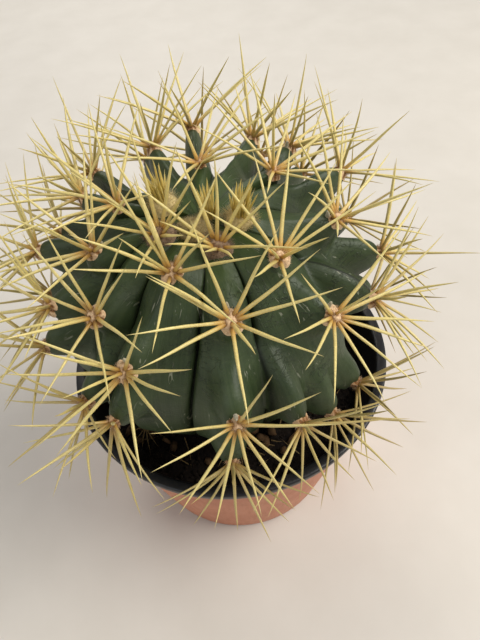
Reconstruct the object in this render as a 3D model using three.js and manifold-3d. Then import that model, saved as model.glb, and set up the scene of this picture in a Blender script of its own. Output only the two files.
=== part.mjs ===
// A round cactus in a nursery pot, in millimetres, with +Z up.
// The origin is the centre of the pot's foot, and the plant leans towards -Y.
import * as THREE from "three";
import { mergeVertices } from "three/addons/utils/BufferGeometryUtils.js";
import Module from "manifold-3d";

const wasm = await Module();
wasm.setup();

// Driving dimensions
const POT = {
  height: 81,
  rimRadius: 65, // outer edge of the lip
  wallRadius: 61.5, // outside of the wall, under the lip
  footRadius: 45.5,
  wall: 1.6,
  floor: 2,
  lipDrop: 4.5, // height of the lip's turned-down edge
  sides: 44,
};
const DRAIN = { count: 6, radius: 4, ring: 31, sides: 8 };
const SOIL = { level: 60, lump: 1.6, rings: 5, sides: 30, holeDepth: 12 };
const NECK = { radius: 16, bottom: 49, top: 84, sides: 14 };
const GLOBE = {
  centre: new THREE.Vector3(-4.5, 1.3, 112),
  radius: 62.6, // over the rib crests
  halfHeight: 50,
  power: 2.3, // 2 is an ellipse, and more is squarer in the shoulder
  leanFront: 10.9,
  leanRight: 0.6,
};
// At the front a flank falls evenly by the plain share of its depth, and a crease takes the rest.
// At the back it is hollow, so that the rib is a fin.
const RIB = {
  frontDepth: 15.5,
  backDepth: 21,
  frontBearing: 8,
  plainShare: 0.5,
  creasePower: 6,
  finPower: 0.6,
};
// How the skin sinks below the globe, in shares of its radius and in height angles
const SKIN = {
  furrowAtCrown: 0.12, // share of a furrow's depth that is left at the crown
  furrowFade: [42, 84],
  dip: 0.12, // of a crest between its noses
  dipAtCrown: 0.035,
  dipFade: [40, 70],
  baseLoss: 0.75, // share of the ribs that dies out towards the neck
  baseFade: [18, 62],
  sunk: 0.07, // hollow of the crown
  sunkWidth: 13,
  taper: 0.16, // of the globe towards the neck
  taperFrom: 35,
};
const NOSE = {
  lengthAbove: 13,
  lengthBelow: 6,
  halfWidth: 6.6,
  rearHalfWidth: 4.4,
  ribShare: 0.85,
  bluntness: 1.7,
};
// A felt pad is smaller where the rib's flank is narrower than ribWidth, by the least share at most, and
// at the back. The steep stars near the crown have larger ones.
const AREOLE = {
  length: 7.4,
  width: 6.6,
  rise: 2.4,
  seat: 1.2,
  sides: 8,
  ribWidth: 7,
  least: 0.8,
  rearSize: 0.78,
  steepSize: 1.12,
};
const SHOULDER = { width: 0.78, rise: 0.42 }; // of a cushion, in shares of its width and rise
const WOOL = { place: [336, 86.5], length: 8.4, width: 10.4, rise: 3.2, seat: 1.2, sides: 8 };
const SPINE = {
  length: 30.5,
  rearGain: 0.11, // share that the rear ones are longer
  radius: 0.74,
  waist: 0.91, // share of the radius that is left at the last ring
  sides: 3,
  ringsAt: [-0.028, 0.45], // shares of the length
  step: 0.02, // share ahead by which a ring is faced
  ringRadius: 1.8, // of the ring of roots in a star
};
const GAP = 0.45; // kept between two pieces that touch on the real plant
const SPINE_GAP = 0.35;
const PAD_GAP = { step: 0.05, most: 3 };
const TOUCH = 1e-4; // mm3 shared by two pieces that only just meet
const RAY_HEIGHT = 15; // above the skin, from where a place on it is looked for
const FAR = 20; // mm between the starts of two stretches of spines that can't be near each other
// Spines of each star, in the order of their draw: the ones that face the viewer, low ones and others
const BUILT_SPINES = { facing: 7, low: 6, others: 7, lowBelow: 20 };
// The draw of a star's spines: lifts and turns in degrees, the rest as shares
const DRAW = {
  count: 10,
  clockSpread: 14,
  lift: [24, 38],
  centralLift: 72, // the first one stands nearly upright
  length: [0.93, 1.07],
  radius: [0.92, 1.08],
  sag: [0.03, 0.11],
  bow: [-0.035, 0.035], // to either side
};
const STEEP_DRAW = { lift: [36, 60] };
const YOUNG_DRAW = { count: 11, lift: [74, 87], length: 0.44, radius: 0.9, root: 1.5 };
// Steps by which a spine is lifted and turned until it is clear, and the room that it needs
const CLEARING = { tries: 26, lift: 3, turn: 2, mostLift: 88, skin: 1.3, pot: 1.6, pad: 1.15 };

// Each rib lists its stars from the crown down as [bearing, height angle] in degrees, and a third number
// is how far the nose reaches, in shares of the globe's radius, where it isn't 1.
// Bearing 0 faces the viewer and grows towards +X, and height angle 90 is the crown.
const RIBS = [
  [[21, 80], [11, 57.5], [6, 21.5], [3, -4]],
  [[53, 66], [50, 40], [54, -7]],
  [[81, 80.5], [91.5, 49], [90, 20, 1.026], [91, -8]],
  [[119, 34, 1.08], [117, 4]],
  [[125, 64.5], [140, 39, 1.03], [140, 12]],
  [[156, 42, 1.01], [157, 15]],
  [[178, 72.5], [182, 44, 1.05], [180, 14]],
  [[202, 51], [201, 19]],
  [[240, 80], [227, 38, 1.027], [228, 8]],
  [[252.5, 67.5], [242.5, 46.5], [244, 12]],
  [[262, 28, 1.04], [262, -2]],
  [[283, 60], [289, 34], [293, 15]],
  [[295, 79.5], [310, 49], [317, 14]],
  [[336, 72], [330, 38], [328, 13.5]],
];
// Where the furrow after a rib lies on the way to the next one, where that isn't halfway
const FURROW_SHARES = new Map([[0, 0.3], [13, 0.6]]);
// Older noses low between the ribs, and the share of the globe's radius at their feet
const LOW_NOSES = [[25.5, 8.5], [40, -7], [70, 23.5]];
const LOW_NOSE = { foot: 0.74, lengthAbove: 27, lengthBelow: 7, halfWidth: 8, bluntness: 1.25 };
const CROWN_STAR = [111, 88];
// Stars above this height stand steeply. The newest are short woolly tufts, listed with their felt's size.
const STEEP_ABOVE = 73;
const YOUNG = new Map([["81,80.5", 1.05], ["240,80", 1.05], ["111,88", 0.62]]);
// Clock angles of the spines in the stars that face the viewer, the upright one first: 0 points to the
// crown, 90 to a larger bearing.
const STAR_CLOCKS = {
  "11,57.5": [172, 350, 40, 90, 130, 187, 255, 305, 70, 275, 315],
  "53,66": [205, 330, 35, 85, 230, 280, 5, 300, 55, 95, 120],
  "336,72": [220, 320, 15, 75, 115, 165, 270, 345, 50, 290, 240],
  "6,21.5": [170, 50, 80, 135, 205, 235, 280, 315, 155, 20],
  "50,40": [20, 285, 335, 75, 110, 155, 180, 260, 305, 210, 140],
  "330,38": [0, 20, 55, 90, 130, 195, 255, 285, 330, 70, 210],
};

const radians = THREE.MathUtils.degToRad;
const { lerp, clamp } = THREE.MathUtils;

// A small generator of repeatable numbers from 0 to 1.
function seeded(seed) {
  let state = (seed * 7919 + 12345) >>> 0;
  return () => {
    state = (Math.imul(state, 1664525) + 1013904223) >>> 0;
    return state / 4294967296;
  };
}

// Solids
function toSolid(geometry) {
  const bare = geometry.clone();
  bare.deleteAttribute("normal");
  bare.deleteAttribute("uv");
  const merged = mergeVertices(bare, 1e-4);
  return new wasm.Manifold(
    new wasm.Mesh({
      numProp: 3,
      vertProperties: merged.attributes.position.array,
      triVerts: merged.index.array,
    }),
  );
}

function toGeometry(solid) {
  const mesh = solid.getMesh();
  const geometry = new THREE.BufferGeometry();
  geometry.setAttribute("position", new THREE.BufferAttribute(mesh.vertProperties.slice(), 3));
  geometry.setIndex(new THREE.BufferAttribute(mesh.triVerts.slice(), 1));
  geometry.computeVertexNormals();
  return geometry;
}

// A closed skin from a first point through rings of points, each with the same number, to a last point.
// Without a first point, the first ring is closed by flat faces.
function skin(rings, first, last) {
  const count = rings[0].length;
  const points = [...rings.flat(), last];
  if (first) points.push(first);
  const faces = [];
  const at = (ring, i) => ring * count + (i % count);
  for (let i = 0; i < count; i++) {
    if (first) faces.push(points.length - 1, at(0, i), at(0, i + 1));
    faces.push(rings.length * count, at(rings.length - 1, i + 1), at(rings.length - 1, i));
  }
  for (let i = 1; i + 1 < count && !first; i++) faces.push(at(0, 0), at(0, i), at(0, i + 1));
  for (let ring = 0; ring + 1 < rings.length; ring++) {
    for (let i = 0; i < count; i++) {
      faces.push(at(ring, i), at(ring + 1, i), at(ring + 1, i + 1));
      faces.push(at(ring, i), at(ring + 1, i + 1), at(ring, i + 1));
    }
  }
  const geometry = new THREE.BufferGeometry().setFromPoints(points);
  geometry.setIndex(faces);
  return geometry;
}

// Pot
const wallSlope = (POT.wallRadius - POT.footRadius) / (POT.height - POT.lipDrop);
const outerWall = (z) => POT.footRadius + wallSlope * z;
const innerWall = (z) => outerWall(z) - POT.wall;

function potSolid() {
  const top = POT.height;
  const profile = [
    [0, 0],
    [POT.footRadius - 1.5, 0],
    [POT.footRadius, 1.2],
    [POT.wallRadius, top - POT.lipDrop],
    [POT.rimRadius - 0.9, top - POT.lipDrop],
    [POT.rimRadius, top - 1.2],
    [POT.rimRadius - 1, top],
    [innerWall(top) + 0.8, top],
    [innerWall(top - 2), top - 2],
    [innerWall(POT.floor + 2), POT.floor + 2],
    [innerWall(POT.floor) - 1.5, POT.floor],
    [0, POT.floor],
  ].map(([r, z]) => new THREE.Vector2(r, z));
  const shell = new THREE.LatheGeometry(profile, POT.sides);
  let pot = toSolid(shell.rotateX(Math.PI / 2));
  for (let i = 0; i < DRAIN.count; i++) {
    const angle = (2 * Math.PI * (i + 0.5)) / DRAIN.count;
    const hole = new THREE.CylinderGeometry(DRAIN.radius, DRAIN.radius, 4 * POT.floor, DRAIN.sides);
    hole.rotateX(Math.PI / 2);
    hole.translate(DRAIN.ring * Math.cos(angle), DRAIN.ring * Math.sin(angle), 0);
    pot = pot.subtract(toSolid(hole));
  }
  return pot;
}

// Soil: a plug with a lumpy top and a plain hole for the neck
function soilHeight(x, y) {
  const lumps =
    Math.sin(x * 0.31 + 1.2) * Math.cos(y * 0.27) +
    0.6 * Math.sin(x * 0.17 - y * 0.41) +
    0.4 * Math.cos(x * 0.63 + y * 0.52);
  return SOIL.level + (SOIL.lump * lumps) / 2;
}

function soilSolid() {
  const bottom = POT.floor + GAP;
  const lowRadius = innerWall(POT.floor + 2) - 2.2;
  const ring = (radius, height) =>
    Array.from({ length: SOIL.sides }, (_, i) => {
      const angle = (2 * Math.PI * i) / SOIL.sides;
      const x = radius * Math.cos(angle);
      const y = radius * Math.sin(angle);
      return new THREE.Vector3(x, y, height ?? soilHeight(x, y));
    });
  const topRadius = innerWall(SOIL.level - 2) - 1.2;
  const rings = [ring(lowRadius, bottom), ring(topRadius, SOIL.level - 3)];
  for (let i = SOIL.rings; i > 0; i--) rings.push(ring((topRadius * i) / SOIL.rings));
  const plug = skin(
    rings.map((points) => points.reverse()),
    new THREE.Vector3(0, 0, bottom),
    new THREE.Vector3(0, 0, soilHeight(0, 0)),
  );
  const wide = NECK.radius + GAP;
  const hole = new THREE.CylinderGeometry(wide, wide, 2 * SOIL.holeDepth, NECK.sides);
  hole.rotateX(Math.PI / 2);
  hole.translate(neckPlace.x, neckPlace.y, SOIL.level);
  return toSolid(plug).subtract(toSolid(hole));
}

// Plant frame: out of the globe's foot, to the viewer and to the right
const plantUp = new THREE.Vector3(
  Math.sin(radians(GLOBE.leanRight)),
  -Math.sin(radians(GLOBE.leanFront)) * Math.cos(radians(GLOBE.leanRight)),
  Math.cos(radians(GLOBE.leanFront)) * Math.cos(radians(GLOBE.leanRight)),
);
const plantFront = new THREE.Vector3(0, -1, 0);
plantFront.addScaledVector(plantUp, -plantFront.dot(plantUp)).normalize();
const plantRight = new THREE.Vector3().crossVectors(plantUp, plantFront);
const neckPlace = GLOBE.centre.clone().addScaledVector(plantUp, -GLOBE.halfHeight * 0.8);

function outward(bearing) {
  const angle = radians(bearing);
  return plantRight.clone().multiplyScalar(Math.sin(angle)).addScaledVector(plantFront, Math.cos(angle));
}

// Radius and height on the globe at a height angle, both from its centre.
function globeRadius(height) {
  return GLOBE.radius * Math.cos(radians(height)) ** (2 / GLOBE.power);
}
function globeHeight(height) {
  const sine = Math.sin(radians(height));
  return GLOBE.halfHeight * Math.sign(sine) * Math.abs(sine) ** (2 / GLOBE.power);
}

function globePoint(bearing, height, scale = 1) {
  return GLOBE.centre
    .clone()
    .addScaledVector(outward(bearing), scale * globeRadius(height))
    .addScaledVector(plantUp, scale * globeHeight(height));
}

const wrap = (degrees) => ((((degrees + 180) % 360) + 360) % 360) - 180;
const smooth = (low, high, value) => THREE.MathUtils.smoothstep(value, low, high);

// Bearing of a rib's crest at a height angle, from star to star down the rib.
function crestBearing(rib, height) {
  if (height >= rib[0][1]) return rib[0][0];
  for (let i = 0; i + 1 < rib.length; i++) {
    const [upper, lower] = [rib[i], rib[i + 1]];
    if (height < lower[1]) continue;
    const share = (upper[1] - height) / (upper[1] - lower[1]);
    return upper[0] + share * wrap(lower[0] - upper[0]);
  }
  return rib.at(-1)[0];
}

// How far a nose lifts the skin at a place, from 0 to 1.
function noseLift(bearing, height, star, form, halfWidth = form.halfWidth) {
  const along = Math.hypot(
    globeRadius(height) - globeRadius(star[1]),
    globeHeight(height) - globeHeight(star[1]),
  );
  const across = radians(wrap(bearing - star[0])) * globeRadius(height);
  const reach = height > star[1] ? form.lengthAbove : form.lengthBelow;
  return Math.exp(-(((along / reach) ** 2 + (across / halfWidth) ** 2) ** form.bluntness));
}

const furrowShare = (number) => FURROW_SHARES.get(number) ?? 0.5;

// The rib that a place lies on, the offset from its crest and the crest's way to the furrow, in degrees.
function ribAt(bearing, height) {
  const crests = RIBS.map((rib) => wrap(crestBearing(rib, height) - bearing));
  const after = Math.min(...crests.filter((c) => c >= 0));
  const before = Math.max(...crests.filter((c) => c < 0));
  const gap = after - before;
  const share = furrowShare(crests.indexOf(before));
  if (before + share * gap > 0) {
    return { rib: RIBS[crests.indexOf(before)], offset: -before, half: share * gap };
  }
  return { rib: RIBS[crests.indexOf(after)], offset: after, half: (1 - share) * gap };
}

const rearShare = (bearing) => (1 - Math.cos(radians(bearing - RIB.frontBearing))) / 2;
const ribHalfWidth = (bearing, height) => {
  const { half } = ribAt(bearing, height);
  return radians(half) * globeRadius(height);
};

// The stem's skin as a share of the globe: crests and noses near 1, furrows well below.
function skinScale(bearing, height) {
  const { rib, offset, half } = ribAt(bearing, height);
  const rear = rearShare(bearing);
  const base = 1 - SKIN.baseLoss * smooth(...SKIN.baseFade, -height);
  const depth = lerp(RIB.frontDepth, RIB.backDepth, rear) / GLOBE.radius;
  const left = lerp(1, SKIN.furrowAtCrown, smooth(...SKIN.furrowFade, height));
  const furrow = depth * base * left;
  const dip = base * lerp(SKIN.dip, SKIN.dipAtCrown, smooth(...SKIN.dipFade, height));
  const widest = NOSE.ribShare * radians(half) * globeRadius(height);
  const halfWidth = Math.min(lerp(NOSE.halfWidth, NOSE.rearHalfWidth, rear), widest);
  const lifts = rib.map((star) => noseLift(bearing, height, star, NOSE, halfWidth));
  const reach = Math.max(...rib.map(([, , share = 1], i) => (share - 1) * lifts[i]));
  const flank = offset / half;
  const hollow = flank ** lerp(1, RIB.finPower, rear);
  const slope = lerp(flank ** RIB.creasePower, hollow, lerp(RIB.plainShare, 1, rear));
  const plain = furrow * slope + dip * (1 - slope);
  let scale = 1 - plain * (1 - Math.max(...lifts)) + reach;
  for (const nose of LOW_NOSES) {
    const share = noseLift(bearing, height, nose, LOW_NOSE);
    scale = Math.max(scale, lerp(LOW_NOSE.foot, 1, share));
  }
  const sunk = 1 - SKIN.sunk * Math.exp(-(((90 - height) / SKIN.sunkWidth) ** 2));
  const taper = 1 - SKIN.taper * smooth(SKIN.taperFrom, 90, -height);
  return scale * sunk * taper;
}

// Stem: columns follow the crests and furrows
const STEM_ROWS = { top: 86, bottom: -62, step: 5.7 };
const FLANK_STEPS = [0, 0.2, 0.62, 1]; // from a furrow to the next crest

// Height angles of a rib's rows: even ones, bent so that one passes through each star.
function rowHeights(rib) {
  const last = Math.round((STEM_ROWS.top - STEM_ROWS.bottom) / STEM_ROWS.step);
  const knots = rib.map(([, height]) => [Math.round((STEM_ROWS.top - height) / STEM_ROWS.step), height]);
  knots.unshift([0, STEM_ROWS.top]);
  knots.push([last, STEM_ROWS.bottom]);
  return Array.from({ length: last + 1 }, (_, row) => {
    const next = Math.max(1, knots.findIndex(([at]) => at >= row));
    const [[low, from], [high, to]] = [knots[next - 1], knots[next]];
    return from + ((to - from) * (row - low)) / (high - low);
  });
}

// The places of a row's points: each rib from its left furrow over the crest, and on to the next.
function rowPlaces(row, heights) {
  return RIBS.flatMap((rib, i) => {
    const before = (i + RIBS.length - 1) % RIBS.length;
    const after = (i + 1) % RIBS.length;
    const side = (share, other, furrow) => {
      const way = (1 - share) * furrow;
      const height = lerp(heights[i][row], heights[other][row], way);
      const crest = crestBearing(rib, height);
      return [crest + way * wrap(crestBearing(RIBS[other], height) - crest), height];
    };
    const rise = FLANK_STEPS.map((share) => side(share, before, 1 - furrowShare(before)));
    const fall = FLANK_STEPS.slice(1, -1).map((share) => side(share, after, furrowShare(i)));
    return [...rise, ...fall.reverse()];
  });
}

function stemSolid() {
  const heights = RIBS.map(rowHeights);
  const rings = heights[0].map((_, row) =>
    rowPlaces(row, heights).map(([bearing, height]) =>
      globePoint(bearing, height, skinScale(bearing, height)),
    ),
  );
  const crown = globePoint(0, 90, skinScale(0, 90));
  const foot = globePoint(0, -90, skinScale(0, -90));
  const body = toSolid(skin(rings, crown, foot));
  const length = NECK.top - NECK.bottom;
  const neck = new THREE.CylinderGeometry(NECK.radius, NECK.radius, length, NECK.sides);
  neck.rotateX(Math.PI / 2);
  neck.translate(neckPlace.x, neckPlace.y, (NECK.top + NECK.bottom) / 2);
  return body.add(toSolid(neck));
}

// Direction out of the globe at a place, and the two along its skin: to the crown and to a larger bearing.
function starFrame([bearing, height]) {
  const flat = globeRadius(height) / GLOBE.radius;
  const tall = globeHeight(height) / GLOBE.halfHeight;
  const out = outward(bearing).multiplyScalar(flat ** (GLOBE.power - 1) / GLOBE.radius);
  const rise = (Math.sign(tall) * Math.abs(tall) ** (GLOBE.power - 1)) / GLOBE.halfHeight;
  out.addScaledVector(plantUp, rise).normalize();
  const side = outward(bearing + 90);
  const up = new THREE.Vector3().crossVectors(side, out);
  if (up.dot(plantUp) < 0) up.negate();
  return { out, side, up: up.normalize() };
}

// How deep a point lies under the stem's skin, in millimetres, negative outside.
function depthInStem(point) {
  const from = point.clone().sub(GLOBE.centre);
  const tall = from.dot(plantUp);
  const flatwise = from.clone().addScaledVector(plantUp, -tall);
  const bearing = THREE.MathUtils.radToDeg(
    Math.atan2(flatwise.dot(plantRight), flatwise.dot(plantFront)),
  );
  const flat = (flatwise.length() / GLOBE.radius) ** (GLOBE.power / 2);
  const high = (Math.abs(tall) / GLOBE.halfHeight) ** (GLOBE.power / 2);
  const height = Math.sign(tall) * THREE.MathUtils.radToDeg(Math.atan2(high, flat));
  const level = (flat ** 2 + high ** 2) ** (1 / GLOBE.power);
  return ((skinScale(bearing, height) - level) * from.length()) / level;
}

// Whether a point is too near the stem, the pot's wall or lip, or the soil.
function blocked(point) {
  if (depthInStem(point) > -CLEARING.skin) return true;
  const radius = Math.hypot(point.x, point.y);
  const margin = CLEARING.pot;
  if (point.z < soilHeight(point.x, point.y) + margin && radius < outerWall(point.z)) return true;
  if (point.z > POT.height + margin) return false;
  const lip = point.z > POT.height - POT.lipDrop - margin;
  const outside = lip ? POT.rimRadius : outerWall(point.z);
  return radius > innerWall(point.z) - margin && radius < outside + margin;
}

// The middle line of a spine: straight out of its root, then bending towards the stem and aside.
function spineLine(spine, star, share) {
  const clock = radians(spine.clock);
  const lift = radians(spine.lift);
  const along = star.up.clone().multiplyScalar(Math.cos(clock));
  along.addScaledVector(star.side, Math.sin(clock));
  const across = new THREE.Vector3().crossVectors(star.out, along);
  const root = star.young ? star.size * YOUNG_DRAW.root : SPINE.ringRadius * Math.cos(lift);
  return star.seat
    .clone()
    .addScaledVector(along, root + spine.length * share * Math.cos(lift))
    .addScaledVector(across, spine.length * spine.bow * share ** 2)
    .addScaledVector(star.out, spine.length * (share * Math.sin(lift) - spine.sag * share ** 2));
}

function spineSolid(spine, star) {
  const rings = [];
  for (const share of SPINE.ringsAt) {
    const centre = spineLine(spine, star, share);
    const ahead = spineLine(spine, star, share + SPINE.step).sub(centre).normalize();
    const side = new THREE.Vector3().crossVectors(ahead, star.out).normalize();
    const over = new THREE.Vector3().crossVectors(side, ahead);
    const radius = spine.radius * (share > 0 ? SPINE.waist : 1);
    rings.push(
      Array.from({ length: SPINE.sides }, (_, i) => {
        const angle = (2 * Math.PI * i) / SPINE.sides + Math.PI / 2;
        return centre
          .clone()
          .addScaledVector(side, radius * Math.cos(angle))
          .addScaledVector(over, radius * Math.sin(angle));
      }),
    );
  }
  return closedSkin(rings, null, spineLine(spine, star, 1));
}

// The place on the built stem under a point, seen against a direction that leaves the stem.
function skinUnder(point, out) {
  const above = point.clone().addScaledVector(out, RAY_HEIGHT);
  const ray = new THREE.Raycaster(above, out.clone().negate());
  return ray.intersectObject(stem)[0].point;
}

// A flat oval cushion that follows the skin under it: a felt pad, or the crown's wool.
function padSolid(star, form) {
  const rim = Array.from({ length: form.sides }, (_, i) => {
    const angle = (2 * Math.PI * i) / form.sides + Math.PI / 2;
    return star.seat
      .clone()
      .addScaledVector(star.side, (form.width / 2) * star.size * Math.cos(angle))
      .addScaledVector(star.up, (form.length / 2) * star.size * Math.sin(angle));
  });
  const low = rim.map((point) => skinUnder(point, star.out).addScaledVector(star.out, star.gap));
  const top = star.seat.clone().addScaledVector(star.out, form.rise - form.seat);
  const shoulder = low.map((point) =>
    point.clone().lerp(top, 1 - SHOULDER.width).addScaledVector(star.out, SHOULDER.rise * form.rise),
  );
  const under = star.surface.clone().addScaledVector(star.out, star.gap);
  return closedSkin([low, shoulder], under, top);
}

// A skin turned whichever way round gives it a positive volume.
function closedSkin(rings, first, last) {
  const solid = toSolid(skin(rings, first, last));
  if (solid.volume() > 0) return solid;
  return toSolid(skin(rings.map((ring) => ring.toReversed()), first, last));
}

// Puts a cushion on the skin at a place and raises it until it clears the skin.
function seatPad(star, form) {
  const [bearing, height] = star.place;
  star.surface = skinUnder(globePoint(bearing, height, skinScale(bearing, height)), star.out);
  for (star.gap = GAP; star.gap < PAD_GAP.most; star.gap += PAD_GAP.step) {
    star.seat = star.surface.clone().addScaledVector(star.out, form.seat + star.gap - GAP);
    if (padSolid(star, form).intersect(stemBody).volume() < TOUCH) break;
  }
}

// Every star's place, frame and spines
function makeStar(place, index) {
  const [bearing, height] = place;
  const key = `${bearing},${height}`;
  const random = seeded(index + 1);
  const steep = height > STEEP_ABOVE;
  const star = { place, young: YOUNG.has(key), ...starFrame(place) };
  const onRib = clamp(ribHalfWidth(bearing, height) / AREOLE.ribWidth, AREOLE.least, 1);
  const old = steep ? AREOLE.steepSize : onRib * lerp(1, AREOLE.rearSize, rearShare(bearing));
  star.size = YOUNG.get(key) ?? old;
  seatPad(star, AREOLE);
  const clocks = STAR_CLOCKS[key];
  const draw = { ...DRAW, ...(star.young ? YOUNG_DRAW : steep ? STEEP_DRAW : {}) };
  const count = clocks ? clocks.length : draw.count;
  const turn = 360 * random();
  const rearward = 1 + (SPINE.rearGain * (1 - Math.cos(radians(bearing)))) / 2;
  const built = height < BUILT_SPINES.lowBelow ? BUILT_SPINES.low : BUILT_SPINES.others;
  star.built = clocks ? BUILT_SPINES.facing : built;
  star.spines = [];
  for (let i = 0; i < count; i++) {
    const order = (i * 3) % count;
    const even = turn + (360 / count) * order + draw.clockSpread * (random() - 0.5);
    const spine = {
      clock: clocks ? clocks[i] : even,
      lift: lerp(...draw.lift, random()),
      length: SPINE.length * (star.young ? YOUNG_DRAW.length : rearward),
      radius: SPINE.radius * (star.young ? YOUNG_DRAW.radius : 1),
    };
    spine.length *= lerp(...DRAW.length, random());
    spine.radius *= lerp(...DRAW.radius, random());
    spine.sag = lerp(...DRAW.sag, random());
    spine.bow = lerp(...DRAW.bow, random());
    if (i === 0 && !star.young) spine.lift = DRAW.centralLift;
    star.spines.push(spine);
  }
  return star;
}

const SAMPLES = [0.12, 0.24, 0.36, 0.48, 0.6, 0.72, 0.84, 0.93, 1];
const linePoints = (spine, star) => SAMPLES.map((share) => spineLine(spine, star, share));

function tooNear(points, others) {
  return others.some((other) =>
    points.some((p, i) => {
      if (i === 0) return false;
      const a = new THREE.Line3(points[i - 1], p);
      return other.some((q, k) => {
        if (k === 0) return false;
        return segmentDistance(a, new THREE.Line3(other[k - 1], q)) < 2 * SPINE.radius + SPINE_GAP;
      });
    }),
  );
}

// Least distance between two segments, by stepping to the nearest points in turn.
function segmentDistance(a, b) {
  if (a.start.distanceTo(b.start) > FAR) return FAR;
  const p = a.start.clone().lerp(a.end, 0.5);
  const q = new THREE.Vector3();
  for (let i = 0; i < 4; i++) {
    b.closestPointToPoint(p, true, q);
    a.closestPointToPoint(q, true, p);
  }
  return p.distanceTo(q);
}

// Spines are lifted and turned a little until they clear the stem, the pot, the soil and other stars.
function clearSpines(stars) {
  const placed = [];
  const rooms = stars.map((star) => CLEARING.pad + (star.size * AREOLE.length) / 2);
  stars.forEach((star, number) => {
    const own = [];
    const kept = [];
    for (const spine of star.spines.slice(0, star.built)) {
      const start = { ...spine };
      for (let attempt = 0; attempt < CLEARING.tries; attempt++) {
        const steps = Math.floor((attempt + 1) / 2);
        spine.lift = start.lift + CLEARING.lift * steps;
        spine.clock = start.clock + (attempt % 2 ? 1 : -1) * CLEARING.turn * steps;
        if (spine.lift > CLEARING.mostLift) break;
        const points = linePoints(spine, star);
        const nearPad = stars.some(
          ({ seat }, i) => i !== number && points.some((p) => p.distanceTo(seat) < rooms[i]),
        );
        if (nearPad || points.slice(1).some(blocked) || tooNear(points, placed)) continue;
        if (spineSolid(spine, star).intersect(stemBody).volume() > TOUCH) continue;
        own.push(points);
        kept.push(spine);
        break;
      }
    }
    placed.push(...own);
    star.kept = kept;
  });
}

function starSolid(star) {
  let solid = padSolid(star, AREOLE);
  for (const spine of star.kept) solid = solid.add(spineSolid(spine, star));
  return solid;
}

// The group
const MATERIALS = {
  pot: { color: 0xa8704f, roughness: 0.45, metalness: 0 },
  soil: { color: 0x241a12, roughness: 0.95, metalness: 0 },
  stem: { color: 0x44573d, roughness: 0.5, metalness: 0 },
  spine: { color: 0xdcc57e, roughness: 0.55, metalness: 0 },
  young: { color: 0xc9a64c, roughness: 0.6, metalness: 0 },
  wool: { color: 0xd8c79c, roughness: 0.9, metalness: 0 },
};

const group = new THREE.Group();
function addPiece(name, solid, look) {
  const piece = new THREE.Mesh(toGeometry(solid), new THREE.MeshStandardMaterial(MATERIALS[look]));
  piece.name = name;
  group.add(piece);
  return piece;
}

addPiece("pot", potSolid(), "pot");
addPiece("soil", soilSolid(), "soil");
const stemBody = stemSolid();
const stem = addPiece("cactus_stem", stemBody, "stem");

const places = [...RIBS.flatMap((rib) => rib), ...LOW_NOSES, CROWN_STAR];
const stars = places.map(makeStar);
clearSpines(stars);
const wool = { place: WOOL.place, size: 1, ...starFrame(WOOL.place) };
seatPad(wool, WOOL);
addPiece("crown_wool", padSolid(wool, WOOL), "wool");
stars.forEach((star, i) => {
  const kind = star.young ? "crown_tuft" : "spine_star";
  const name = kind + "_" + String(i + 1).padStart(2, "0");
  addPiece(name, starSolid(star), star.young ? "young" : "spine");
});

export default group;
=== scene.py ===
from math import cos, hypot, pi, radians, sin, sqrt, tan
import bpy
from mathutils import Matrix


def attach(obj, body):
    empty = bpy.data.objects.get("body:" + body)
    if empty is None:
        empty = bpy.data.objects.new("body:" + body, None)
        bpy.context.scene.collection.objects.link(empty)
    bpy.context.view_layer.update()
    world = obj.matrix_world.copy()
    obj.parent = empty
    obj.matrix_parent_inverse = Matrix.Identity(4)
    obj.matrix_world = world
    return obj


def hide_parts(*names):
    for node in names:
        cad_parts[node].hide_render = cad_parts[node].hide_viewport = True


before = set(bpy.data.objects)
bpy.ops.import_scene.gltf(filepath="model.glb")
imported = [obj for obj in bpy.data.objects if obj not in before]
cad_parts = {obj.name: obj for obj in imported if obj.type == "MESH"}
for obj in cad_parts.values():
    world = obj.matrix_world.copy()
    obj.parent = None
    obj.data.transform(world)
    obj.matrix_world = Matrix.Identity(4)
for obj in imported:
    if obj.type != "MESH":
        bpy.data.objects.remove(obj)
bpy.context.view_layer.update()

# A round cactus in a nursery pot: fine meshes and materials over the packed model.
# Lengths are in millimetres until a mesh is made, and the frame is the model's: +Z up, -Y to the viewer.
from types import SimpleNamespace as Values

import bpy
import numpy as np
from mathutils import Matrix, Vector

MM = 0.001
TURN = 2 * pi

# Driving dimensions, the same as the model's unless a comment says otherwise
POT = Values(height=81.0, rim_radius=65.0, wall_radius=61.5, foot_radius=45.5, wall=1.6, floor=2.0,
             lip_drop=4.5, sides=192)
DRAIN = Values(count=6, radius=4.0, ring=31.0, sides=32, drill=12)
SOIL = Values(level=60.0, lump=1.6)
# The neck stands on the plant's axis, at the share down of the globe's half height below its centre.
NECK = Values(radius=16.0, top=66.0, bottom=56.0, down=0.8)
GLOBE = Values(centre=np.array([-4.5, 1.3, 112.0]), radius=62.6, half_height=50.0, power=2.3,
               lean_front=10.9, lean_right=0.6)
# At the front a flank falls evenly by the plain share of its depth, and a crease takes the rest.
# At the back it is hollow, so that the rib is a fin. The creases are thinner than the model's.
RIB = Values(front_depth=15.5, back_depth=21.0, front_bearing=8.0, plain_share=0.44, crease_power=32,
             fin_power=0.6)
SKIN = Values(furrow_at_crown=0.12, furrow_fade=(42, 84), dip=0.12, dip_at_crown=0.035, dip_fade=(40, 70),
              base_loss=0.75, base_fade=(18, 62), sunk=0.07, sunk_width=13.0, taper=0.16, taper_from=35)
NOSE = Values(above=13.0, below=6.0, half_width=6.6, rear_half_width=4.4, rib_share=0.85, bluntness=1.7)
WOOL = Values(number=77, place=(336, 86.5), length=8.4, width=10.4, rise=3.2)
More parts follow.
